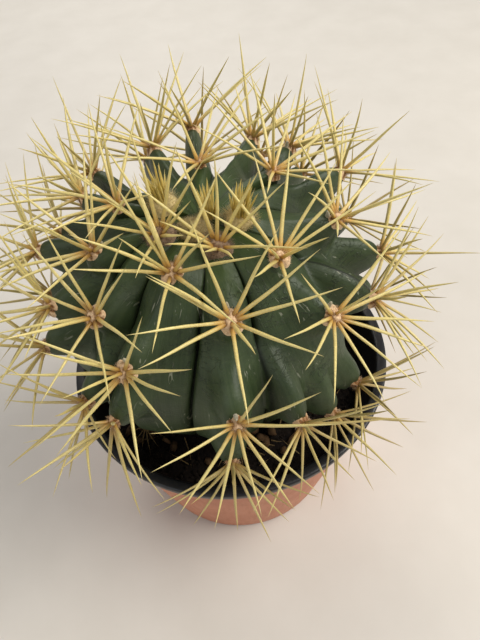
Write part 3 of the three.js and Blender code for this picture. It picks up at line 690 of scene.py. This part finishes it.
def stem_look():
    """Satin green skin: stripes along the ribs, painted shade in the furrows, pale scars, specks and thin
    folds darkened with painted shade.
    """
    look = Look("stem_skin", 0.46, Specular_IOR_Level=0.40)
    stripes = look.noise(1.3, 3, 0.6, (1, 1, 0.05), "skin")
    clouds = look.noise(16, 4, 0.6)
    patches = look.noise(5, 5, 0.6)
    green = look.ramp(clouds, [(0.3, (0.018, 0.033, 0.011)), (0.52, (0.033, 0.055, 0.018)),
                               (0.72, (0.055, 0.080, 0.031))])
    green = look.stain(green, stripes, 0.35, 0.7, 0.55, (0.066, 0.093, 0.038))
    green = look.stain(green, patches, 0.45, 0.75, 0.4, (0.026, 0.044, 0.014))
    fresh = look.math("MULTIPLY", look.mark("fresh"), look.ramp(patches, [(0.2, 0.5), (0.7, 1.0)]))
    green = look.mix(fresh, green, (0.046, 0.080, 0.014))
    # Painted shade: the skin darkens from halfway to each furrow, and a near-black painted line marks the
    # furrow's crease.
    green = look.stain(green, look.mark(), 0.5, 1.0, 0.4, (0.018, 0.028, 0.011))
    green = look.stain(green, look.mark(), 0.95, 0.995, 0.85, (0.006, 0.009, 0.004))
    flecks = look.noise(2.4, 2, 0.5, (1, 1, 0.22), "skin", 1.6)
    scars = look.math("MULTIPLY", look.ramp(flecks, [(0.65, 0.0), (0.69, 1.0)]),
                      look.ramp(look.noise(13, 2, 0.5), [(0.50, 0.0), (0.60, 0.7)]))
    green = look.mix(scars, green, (0.30, 0.31, 0.23))
    green = look.stain(green, look.noise(0.5, 2, 0.5), 0.68, 0.78, 0.35, (0.20, 0.21, 0.15))
    # Thin folds: a shallow bump, with near-black lines of painted shade along them.
    wave = look.noise(9, 3, 0.55, (1, 1, 2.2), "skin", 0.8)
    folds = look.ramp(wave, [(0.485, 0.0), (0.497, 1.0), (0.503, 1.0), (0.515, 0.0)])
    folds = look.math("MULTIPLY", folds, look.ramp(look.noise(22, 2), [(0.46, 0.0), (0.60, 0.7)]))
    look.colour(look.mix(folds, green, (0.012, 0.018, 0.008)))
    look.roughness(clouds, 0.38, 0.56)
    wrinkles = look.noise(3.4, 4, 0.6, (0.35, 0.35, 1.6), "skin", 0.6)
    look.bump([(look.math("SUBTRACT", 1.0, folds), 0.16), (wrinkles, 0.12), (stripes, 0.12), (patches, 0.22),
               (scars, 0.10), (look.noise(0.7, 3, 0.6), 0.05)])
    return look.material


def spine_look(name, root, body, tip, dull):
    """Straw-like spines: amber and then golden at the root, streaked, and duller where they are old."""
    look = Look(name, 0.34, Specular_IOR_Level=0.55, Subsurface_Weight=0.04, Subsurface_Scale=0.0004)
    look.shader.inputs["Subsurface Radius"].default_value = (1.0, 0.6, 0.25)
    golden = tuple(lerp(near, far, 0.8) for near, far in zip(root[1], body))
    base = look.ramp(look.mark(), [(0.01, root[0]), (0.05, root[1]), (0.16, golden), (0.5, body),
                                   (0.85, body), (1.0, tip)])
    streaks = look.noise(0.55, 3, 0.6)
    base = look.stain(base, streaks, 0.38, 0.75, 0.5, times(body, 0.55))
    base = look.stain(base, look.noise(6, 3), 0.5, 0.8, 0.45, times(body, 1.25))
    look.colour(look.stain(base, look.mark("tone"), 0.3, 1.0, 0.8, dull))
    look.bump([(streaks, 0.06)])
    return look.material


def felt_look(name, dark, light, socket, size=0.6):
    """Matted felt of short hairs, brown where a spine leaves it."""
    look = Look(name, 0.92, Sheen_Weight=0.25, Sheen_Roughness=0.5)
    fibres = look.noise(size, 4, 0.7)
    clumps = look.noise(size * 3.5, 3)
    base = look.ramp(fibres, [(0.32, dark), (0.66, light)])
    base = look.stain(base, clumps, 0.4, 0.7, 0.5, times(light, 0.72))
    base = look.stain(base, look.mark("tone"), 0.35, 1.0, 0.85, times(dark, 0.8))
    look.colour(look.stain(base, look.mark(), 0.3, 0.8, 0.95, socket))
    look.bump([(clumps, 0.35), (fibres, 0.18)])
    return look.material


def pot_outside_look():
    """Thin terracotta-coloured plastic, matt and a little dusty."""
    look = Look("pot_terracotta", 0.5, Specular_IOR_Level=0.4, Subsurface_Weight=0.05,
                Subsurface_Scale=0.002)
    drawn = look.noise(2.2, 3, 0.6, (1, 1, 0.08))
    base = look.ramp(look.noise(26, 4), [(0.3, (0.50, 0.180, 0.092)), (0.7, (0.60, 0.240, 0.132))])
    base = look.stain(base, drawn, 0.45, 0.8, 0.35, (0.37, 0.135, 0.068))
    dust = look.math("MULTIPLY", look.ramp(look.noise(1.1, 5, 0.7), [(0.5, 0.0), (0.75, 0.4)]),
                     look.ramp(look.noise(18, 2), [(0.4, 0.0), (0.7, 1.0)]))
    look.colour(look.mix(dust, base, (0.56, 0.36, 0.25)))
    look.roughness(drawn, 0.42, 0.62)
    look.bump([(drawn, 0.10), (look.noise(0.6, 2), 0.03)])
    return look.material


def pot_inside_look():
    """Black plastic with a soft gloss, fine scratches and a film of soil dust."""
    look = Look("pot_black", 0.3, Specular_IOR_Level=0.5)
    dust = look.ramp(look.noise(3.2, 5, 0.7), [(0.5, 0.0), (0.8, 0.7)])
    look.colour(look.mix(dust, (0.008, 0.008, 0.009), (0.040, 0.031, 0.023)))
    look.roughness(look.noise(5, 4, 0.7), 0.24, 0.52)
    look.bump([(look.noise(1.4, 3, 0.6, (1, 1, 0.2)), 0.08)])
    return look.material


def earth_look(name, dark, light, size, roughness=0.95):
    """Grainy peat, bark or straw, with some lumps paler than others."""
    look = Look(name, roughness, Specular_IOR_Level=0.25)
    grains = look.noise(size, 5, 0.65)
    base = look.ramp(grains, [(0.3, dark), (0.62, light)])
    look.colour(look.stain(base, look.mark(), 0.0, 1.0, 0.6, times(light, 1.7)))
    look.bump([(look.noise(size * 2.4, 4), 0.8), (grains, 0.3)])
    return look.material


STEM_SKIN = stem_look()
AMBER_SOCKET = (0.24, 0.092, 0.016)
SPINES = spine_look("spine_straw", ((0.28, 0.11, 0.02), (0.62, 0.35, 0.075)), (0.79, 0.66, 0.25),
                    (0.60, 0.48, 0.20), (0.30, 0.20, 0.07))
NEW_SPINES = spine_look("spine_amber", ((0.42, 0.26, 0.04), (0.60, 0.42, 0.08)), (0.72, 0.57, 0.17),
                        (0.72, 0.62, 0.28), (0.55, 0.40, 0.10))
FELT = felt_look("areole_felt", (0.62, 0.37, 0.18), (0.95, 0.70, 0.43), AMBER_SOCKET)
OLD_WOOL = felt_look("brown_wool", (0.11, 0.060, 0.033), (0.46, 0.31, 0.185), AMBER_SOCKET, 0.5)
CROWN_WOOL = felt_look("crown_wool", (0.50, 0.37, 0.14), (0.86, 0.71, 0.35), (0.45, 0.30, 0.08), 0.8)
HORN = felt_look("horn", (0.38, 0.33, 0.20), (0.66, 0.60, 0.44), (0.30, 0.20, 0.08), 0.9)
POT_OUTSIDE, POT_INSIDE = pot_outside_look(), pot_inside_look()
# The peat's colours are those of dark peat, darkened further with painted shade for the soil lying in the
# pot's shadow.
PEAT_WITH_PAINTED_SHADE = earth_look("peat", (0.003, 0.002, 0.002), (0.016, 0.010, 0.006), 1.2)
BARK = earth_look("bark", (0.018, 0.010, 0.005), (0.115, 0.064, 0.028), 2.0, 0.85)
DRY_SPINES = earth_look("dried_spines", (0.12, 0.072, 0.026), (0.33, 0.225, 0.095), 2.5, 0.7)


# Stem piece
# Height angles over which the skin turns a fresher green at the crown, and less so towards the base
FRESH = Values(crown=(58, 84), base=(5, 45), base_share=0.35)


def stem_grid():
    """Bearings and height angles of the skin's mesh, in columns that crowd towards the furrows."""
    heights = np.arange(STEM_MESH.top, STEM_MESH.bottom, -STEM_MESH.row_step)
    crests = np.array([crest_bearing(rib, heights) for rib in RIBS])
    steps = np.arange(STEM_MESH.flank_columns) / STEM_MESH.flank_columns
    columns = []
    for i, furrow in enumerate(FURROWS):
        run = wrap(crests[(i + 1) % len(RIBS)] - crests[i])
        down = furrow * (1 - (1 - steps) ** STEM_MESH.crowding)
        up = 1 - (1 - furrow) * (1 - steps ** STEM_MESH.crowding)
        columns += [crests[i] + share * run for share in [*down, *up]]
    return np.array(columns).T, np.repeat(heights[:, None], len(columns), axis=1)


def stem_piece():
    """The whole skin, and the neck down into the soil."""
    bearings, heights = stem_grid()
    rows, columns = bearings.shape
    low = heights[-1, 0]
    rings = list(globe_point(bearings, heights, skin_scale(bearings, heights)))
    for step in STEM_MESH.under:
        height = np.full(columns, low - step)
        rings.append(globe_point(bearings[-1], height, skin_scale(bearings[-1], height)))
    angles = np.radians(bearings[-1])
    circle = np.column_stack([np.sin(angles), -np.cos(angles)]) * NECK.radius
    for z in (NECK.top, NECK.bottom):
        rings.append(np.column_stack([NECK_PLACE[:2] + circle, np.full(columns, z)]))
    crown = globe_point(0.0, 90.0, skin_scale(0.0, 90.0))
    points = np.vstack([np.concatenate(rings), [*NECK_PLACE[:2], NECK.bottom], crown])
    extra = len(points) - rows * columns
    build = Build()
    # Each point's mark runs from 0 on a crest to 1 in a furrow, and the skin's look paints shade from it.
    _, offset, half = rib_at(bearings, heights)
    marks = np.append(offset / half, np.full(extra, 0.5))
    build.add(points, ring_faces(len(rings), columns, first_cap=True, last_cap=True), marks)
    piece = build.piece("stem_skin", [STEM_SKIN], "cactus_stem", "stem")
    along = np.append(heights, np.full(extra, low))
    turn = np.radians(np.append(bearings, np.zeros(extra)))
    reach = GLOBE.radius * MM
    place = np.column_stack([np.cos(turn) * reach, np.sin(turn) * reach, np.radians(along) * reach])
    set_points(piece.data, "skin", place, "FLOAT_VECTOR", "vector")
    at_crown, at_base = smooth(*FRESH.crown, along), FRESH.base_share * smooth(*FRESH.base, -along)
    set_points(piece.data, "fresh", np.maximum(at_crown, at_base))


# Star pieces
def beside(star, across, along, rise=0.0):
    """Offsets in a star's frame: to a larger bearing, to the crown and out of the globe."""
    across, along, rise = np.broadcast_arrays(across, along, rise)
    return across[..., None] * star.side + along[..., None] * star.up + rise[..., None] * star.out


def pad_mesh(build, star, look, wool=0.0):
    """A felt cushion with a ridge between the sockets of its spines; wool makes it wider and rounder."""
    widen = star.felt * (1 + WOOLLY.wider * wool)
    half_up, half_side = star.length / 2 * widen, star.width / 2 * widen
    draw = seeded(SEEDS.pads + star.number)
    phases = [TURN * next(draw) for _ in range(3)]
    angles = round_angles(PAD_MESH.sides)
    waver, finer = PAD.waver
    edge = 1 + waver * np.sin(3 * angles + phases[0]) + finer * np.sin(5 * angles + phases[1])
    shares = np.array(PAD_MESH.rings)[:, None]
    across = shares * edge * half_side * np.cos(angles)
    along = shares * edge * half_up * np.sin(angles)
    sockets = np.zeros_like(across)
    for spine in star.spines:
        sockets = np.maximum(sockets, socket_share(spine, star, across, along))
    shallow = 1 - WOOLLY.shallower * wool
    rise = star.rise * (1 + WOOLLY.higher * wool) * (1 - np.clip(shares, 0, 1) ** PAD.dome)
    rise = rise - PAD.sunk + PAD.ripple * np.sin(2.9 * across + phases[2]) * np.sin(3.3 * along)
    rise = np.where(shares > 1, -PAD.skirt, rise - SOCKET.depth * shallow * sockets)
    points = star.surface + beside(star, across, along, rise)
    middle = star.surface + rise[-1].mean() * star.out
    marks = np.append(sockets * shallow, 0.2)
    build.add_rings(points, middle, marks, look, lerp(*PAD.tones, star.age))


def socket_share(spine, star, across, along):
    """Nearness, from 0 to 1, to the dimple where a spine leaves its felt."""
    clock = radians(spine.clock)
    run = SOCKET.run / tan(radians(spine.lift))
    ahead = across * sin(clock) + along * cos(clock) - spine_root(spine, star)
    aside = across * cos(clock) - along * sin(clock)
    beyond = ahead - np.clip(ahead, SOCKET.start, max(run, SOCKET.start))
    return np.exp(-(aside ** 2 + beyond ** 2) / SOCKET.radius ** 2)


def pad_hairs(build, star, look, kind, rule, draw, spread=1.0):
    """Short hairs that stand out of a pad, most of them at its edge."""
    half_up, half_side = star.length / 2 * star.felt, star.width / 2 * star.felt
    down, power, sunk = rule.dome
    inner, outer = rule.outwards
    roots, ends = [], []
    for _ in range(HAIR_COUNTS[kind]):
        angle, share = TURN * next(draw), next(draw) ** rule.crowding * spread
        foot = beside(star, half_side * share * cos(angle), half_up * share * sin(angle))
        rise = (star.rise - down) * (1 - min(share, 1) ** power) - sunk
        lean = foot * rule.by_foot + unit(foot + 1e-6) * (inner + outer * share)
        lean = lean + star.out * lerp(*rule.upright, next(draw))
        aside = rule.stray * (next(draw) - 0.5)
        lean = lean + beside(star, aside, rule.stray * (next(draw) - 0.5))
        roots.append(star.surface + foot + star.out * rise)
        ends.append(roots[-1] + unit(lean) * lerp(*HAIR_LENGTHS[kind], next(draw)))
    hair_mesh(build, roots, ends, rule.radius, draw, look, rule.bend)


def horn_mesh(build, star, length, look):
    """The pale blunt horn that some stars bear on their crown side."""
    foot = star.surface + star.up * (AREOLE.length / 2 + HORN_FORM.gap) * star.felt
    ahead = unit(star.out + HORN_FORM.lean * star.up)
    over = unit(np.cross(ahead, star.side))
    shares, angles = HORN_FORM.shares, round_angles(HORN_FORM.sides)
    ring = np.cos(angles)[:, None] * star.side + np.sin(angles)[:, None] * over
    middle = shares[:, None] * length * ahead + HORN_FORM.bend * shares[:, None] ** 2 * star.up
    points = foot + middle[:, None] + HORN_FORM.radii[:, None, None] * ring
    tip = foot + length * ahead + HORN_FORM.bend * star.up
    build.add_rings(points, tip, 0.0, look)


def bristles(build, star, look):
    """The dense brush of new bristles in a crown tuft."""
    draw = seeded(SEEDS.bristles + star.number)
    roots, ends = [], []
    for _ in range(BRISTLES.count):
        angle, reach = TURN * next(draw), BRISTLES.ring * sqrt(next(draw))
        foot = beside(star, reach * cos(angle), reach * sin(angle))
        length = SPINE.length * YOUNG_DRAW["length_share"] * lerp(*BRISTLES.length, next(draw))
        roots.append(star.seat + foot)
        ends.append(roots[-1] + (star.out + foot * BRISTLES.flare) * length)
    hair_mesh(build, roots, ends, BRISTLES.radius, draw, look, BRISTLES.bend, (0.0, 0.3, 0.9))


def star_piece(star):
    """A star with its felt, hairs, spines and horn."""
    build = Build()
    kind = "young" if star.young else "steep" if star.steep else "others"
    felt = dict(young=CROWN_WOOL, steep=OLD_WOOL, others=FELT)[kind]
    wool = WOOL_SHARES[kind]
    pad_mesh(build, star, 1, wool)
    draw = seeded(SEEDS.hairs + star.number)
    pad_hairs(build, star, 1, kind, FELT_HAIRS, draw, 1 + WOOLLY.hair_spread * wool)
    draw = seeded(SEEDS.spines + star.number)
    age = 0.0 if star.young else lerp(*NEEDLE.ages, star.age)
    for spine in star.spines:
        spine_mesh(build, spine, star, draw, 0, age)
    if star.young:
        bristles(build, star, 0)
    if star.place in HORNS:
        horn_mesh(build, star, HORNS[star.place], 2)
    number = f"{star.number + 1:02d}"
    node = ("crown_tuft_" if star.young else "spine_star_") + number
    looks = [NEW_SPINES if star.young else SPINES, felt, HORN]
    build.piece(f"star_{number}", looks, node, "young_spine" if star.young else "spine")


# Wool in the hollow of the crown
def wool_piece():
    """The cushion of wool in the middle of the crown, with its fibres."""
    out, side, up = star_frame(WOOL.place)
    centre = globe_point(*WOOL.place, skin_scale(*WOOL.place))
    build = Build()
    cushion = Values(**vars(WOOL), surface=centre, out=out, side=side, up=up, felt=1.0, age=0.0, spines=[])
    pad_mesh(build, cushion, 0)
    pad_hairs(build, cushion, 0, "wool", WOOL_HAIRS, seeded(SEEDS.wool))
    build.piece("crown_wool_fine", [CROWN_WOOL], "crown_wool", "wool")


# Pot piece
def pot_profile():
    """(radius, height, look) down the outside and up the inside; look 1 is the black plastic."""
    top, under_lip = POT.height, POT.height - POT.lip_drop
    rim, wall, foot = POT.rim_radius, POT.wall_radius, POT.foot_radius
    mouth = inner_wall(top)
    outside = [(foot - 6, 0.9), (foot - 5, 0.0), (foot - 1.5, 0.0), (foot - 0.4, 0.35), (foot, 1.2),
               (foot + 0.3, 2.2), *[(outer_wall(z), z) for z in (20, 40, 60)], (wall - 0.1, under_lip - 0.6),
               (wall, under_lip)]
    lip = [(rim - 1.1, under_lip), (rim - 0.75, under_lip + 0.15), (rim - 0.6, under_lip + 0.6),
           (rim, top - 1.0), (rim - 0.12, top - 0.45), (rim - 0.4, top - 0.12), (rim - 0.9, top),
           (mouth + 1.0, top), (mouth + 0.4, top - 0.2)]
    inside = [(inner_wall(z), z) for z in (top - 1.0, top - 2, 62, 40, 20, 5)]
    corner, base = inner_wall(POT.floor), POT.floor
    inside += [(corner - 0.25, base + 1.2), (corner - 1.6, base + 0.1), (corner - 3, base)]
    return [(r, z, 0) for r, z in outside] + [(r, z, 1) for r, z in lip + inside]


def pot_piece():
    """The pot as rings joined into one shell, with its drain holes."""
    profile, sides = pot_profile(), POT.sides
    rings = circles([r for r, _, _ in profile], [z for _, z, _ in profile], sides)
    build = Build()
    for i in range(len(rings) - 1):
        build.add(np.vstack([rings[i], rings[i + 1]]), ring_faces(2, sides), 0.0, profile[i + 1][2])
    ends = [(rings[0], ring_faces(1, sides, first_cap=True), 0),
            (rings[-1], ring_faces(1, sides, last_cap=True), 1)]
    for ring, faces, look in ends:
        build.add(np.vstack([ring, [0, 0, ring[0][2]]]), faces, 0.0, look)
    weld_and_drill(build.piece("pot_shell", [POT_OUTSIDE, POT_INSIDE], "pot", "pot"))


def weld_and_drill(piece):
    """Joins the pot's rings, then cuts its drain holes."""
    bpy.context.view_layer.objects.active = piece
    weld = piece.modifiers.new("weld", "WELD")
    weld.merge_threshold = 0.01 * MM
    bpy.ops.object.modifier_apply(modifier=weld.name)
    for i in range(DRAIN.count):
        angle = TURN * (i + 0.5) / DRAIN.count
        bpy.ops.mesh.primitive_cylinder_add(vertices=DRAIN.sides, radius=DRAIN.radius * MM,
                                            depth=DRAIN.drill * MM)
        drill = bpy.context.active_object
        drill.location = (DRAIN.ring * MM * cos(angle), DRAIN.ring * MM * sin(angle), 0)
        bpy.context.view_layer.objects.active = piece
        cut = piece.modifiers.new("drill", "BOOLEAN")
        cut.operation, cut.solver, cut.object = "DIFFERENCE", "EXACT", drill
        bpy.ops.object.modifier_apply(modifier=cut.name)
        bpy.data.objects.remove(drill)


# Soil piece
def crumb_mesh(build, centre, size, draw, look, flat=1.0):
    """An irregular lump of peat or a bark chip."""
    turn = Matrix.Rotation(TURN * next(draw), 3, "Z")
    turn = turn @ Matrix.Rotation(CRUMB.tilt * (next(draw) - 0.5), 3, "X")
    long, wide, high = [size * lerp(*reach, next(draw)) for reach in CRUMB.reaches]
    points = []
    for corner in CRUMB_POINTS:
        stray = [lerp(*CRUMB.stray, next(draw)) for _ in range(3)]
        local = np.array(corner) * stray * (long, wide, flat * high)
        points.append(np.array(centre) + np.array(turn @ Vector(local)))
    build.add(points, CRUMB_FACES, next(draw), look)


def crumb_form():
    """Corners and faces of a rough ball, with a ring of five corners above its middle and one below."""
    angles = [*round_angles(5), *(round_angles(5) + TURN / 10)]
    rings = [(0.9 * cos(angle), 0.9 * sin(angle), 0.45 if i < 5 else -0.45)
             for i, angle in enumerate(angles)]
    faces = []
    for i in range(5):
        k = (i + 1) % 5
        faces += [(0, 1 + i, 1 + k), (1 + i, 6 + i, 1 + k), (1 + k, 6 + i, 6 + k), (11, 6 + k, 6 + i)]
    return [(0, 0, 1), *rings, (0, 0, -1)], faces


CRUMB_POINTS, CRUMB_FACES = crumb_form()


def fine_lumps(x, y):
    """Waves of the soil's surface that are finer than those of soil_height."""
    waves = 0.5 * np.sin(1.7 * x + 2 * np.sin(0.9 * y)) * np.cos(1.9 * y)
    return waves + 0.35 * np.sin(3.1 * x) * np.sin(2.7 * y + x) - 0.3


def soil_surface(build):
    """The lumpy top, from the wall to the middle, with a skirt down inside the pot."""
    sides, bottom = SOIL_MESH.sides, SOIL_MESH.bottom
    radii = np.append(np.linspace(inner_wall(SOIL.level) - 0.4, 0.5, SOIL_MESH.rings), 0.2)
    top = circles(radii, 0.0, sides)
    x, y = top[..., 0], top[..., 1]
    top[..., 2] = soil_height(x, y) + fine_lumps(x, y)
    rings = np.concatenate([circles(inner_wall(bottom) - 0.5, bottom, sides), top])
    points = np.vstack([rings.reshape(-1, 3), [0, 0, top[-1, :, 2].mean()], [0, 0, bottom]])
    build.add(points, ring_faces(len(rings), sides, first_cap=True, last_cap=True), 0.0, 0)


def soil_piece():
    """The soil with all that lies on it."""
    build, draw = Build(), seeded(SEEDS.soil)
    soil_surface(build)
    edge = inner_wall(SOIL.level) - 1.5
    for lump in LUMPS:
        for _ in range(lump.count):
            angle, radius = TURN * next(draw), (edge - lump.from_edge) * sqrt(next(draw))
            x, y = radius * cos(angle), radius * sin(angle)
            size = lerp(*lump.size, next(draw) ** lump.skew)
            place = (x, y, soil_height(x, y) + lump.height)
            crumb_mesh(build, place, size, draw, lump.look, lump.flat)
    for x, y, z, size in CLODS:
        crumb_mesh(build, (x, y, z), size, draw, 1)
    tips = [np.array(tip, float) for tip in DEAD_STAR.tips]
    middles = [np.array(DEAD_STAR.middle)] * len(tips)
    hair_mesh(build, middles, tips, DEAD_STAR.radius, draw, 2, DEAD_STAR.bend)
    fallen = [fallen_spine(draw, edge) for _ in range(FALLEN.count)]
    hair_mesh(build, *zip(*fallen), FALLEN.radius, draw, 2, FALLEN.bend)
    build.piece("soil_top", [PEAT_WITH_PAINTED_SHADE, BARK, DRY_SPINES], "soil", "soil")


def fallen_spine(draw, edge):
    """Root and tip of a dried spine that lies on the soil."""
    angle = TURN * next(draw)
    radius = lerp(FALLEN.from_middle, edge - FALLEN.from_edge, next(draw))
    x, y = radius * cos(angle), radius * sin(angle)
    root = np.array([x, y, soil_height(x, y) + FALLEN.height])
    turn, length = TURN * next(draw), lerp(*FALLEN.length, next(draw) ** 2)
    tip = root + [cos(turn) * length, sin(turn) * length, FALLEN.tilt * next(draw)]
    reach = hypot(tip[0], tip[1])
    if reach > edge - 1:
        tip[:2] *= (edge - 1) / reach
    return root, tip


# Stage
# The photo in pixels, and its camera, which sees from 0.01 to 20 m
PHOTO = Values(width=480, height=640, focal=558.0)
CAMERA = Values(place=(5.5, -145.0, 268.0), elevation=49.42, roll=-5.20, sensor=36.0, sight=(0.01, 20))
FLOOR_SIZE = 6
# Round lamps, which all point at the target. Their places and sizes, and the floor's, are in metres.
LAMP_TARGET = (0, 0, 0.1)
LAMPS = [dict(name="key", place=(0.85, -0.10, 1.0), size=0.9, power=15, colour=(1.0, 0.965, 0.92)),
         dict(name="fill", place=(-0.9, -0.7, 0.8), size=1.2, power=3.5, colour=(0.95, 0.97, 1.0)),
         dict(name="back", place=(-0.2, 1.1, 0.8), size=0.8, power=6, colour=(1.0, 0.97, 0.93))]
SKY = Values(colour=(0.95, 0.96, 1.0, 1), strength=0.36)


def camera():
    data = bpy.data.cameras.new("camera")
    data.sensor_fit = "AUTO"
    data.sensor_width = CAMERA.sensor
    data.lens = CAMERA.sensor * PHOTO.focal / max(PHOTO.width, PHOTO.height)
    data.clip_start, data.clip_end = CAMERA.sight
    obj = add_object("camera", data)
    turn = Matrix.Rotation(radians(90 - CAMERA.elevation), 4, "X")
    roll = Matrix.Rotation(radians(CAMERA.roll), 4, "Z")
    obj.matrix_world = Matrix.Translation(Vector(CAMERA.place) * MM) @ turn @ roll
    bpy.context.scene.camera = obj


def lamp(name, place, size, power, colour):
    data = bpy.data.lights.new(name, "AREA")
    data.shape, data.size, data.energy, data.color = "DISK", size, power, colour
    obj = add_object(name, data)
    obj.location = place
    obj.rotation_euler = (Vector(LAMP_TARGET) - Vector(place)).to_track_quat("-Z", "Y").to_euler()


def floor():
    look = Look("pale_floor", 0.6)
    look.colour(look.ramp(look.noise(40, 4), [(0.3, (0.63, 0.59, 0.52)), (0.7, (0.67, 0.63, 0.56))]))
    bpy.ops.mesh.primitive_plane_add(size=FLOOR_SIZE)
    plane = bpy.context.active_object
    plane.name = "floor"
    plane.data.materials.append(look.material)


def stage():
    camera()
    floor()
    for each in LAMPS:
        lamp(**each)
    world = bpy.data.worlds.new("studio")
    world.use_nodes = True
    background = world.node_tree.nodes["Background"]
    background.inputs["Color"].default_value = SKY.colour
    background.inputs["Strength"].default_value = SKY.strength
    bpy.context.scene.world = world
    bpy.context.scene.view_settings.view_transform = "Standard"


stage()
PLACES = [place for rib in RIBS for place in rib] + LOW_NOSES + [CROWN_STAR]
STARS = [make_star(place, number) for number, place in enumerate(PLACES)]
clear_spines(STARS)
stem_piece()
for each in STARS:
    star_piece(each)
wool_piece()
pot_piece()
soil_piece()
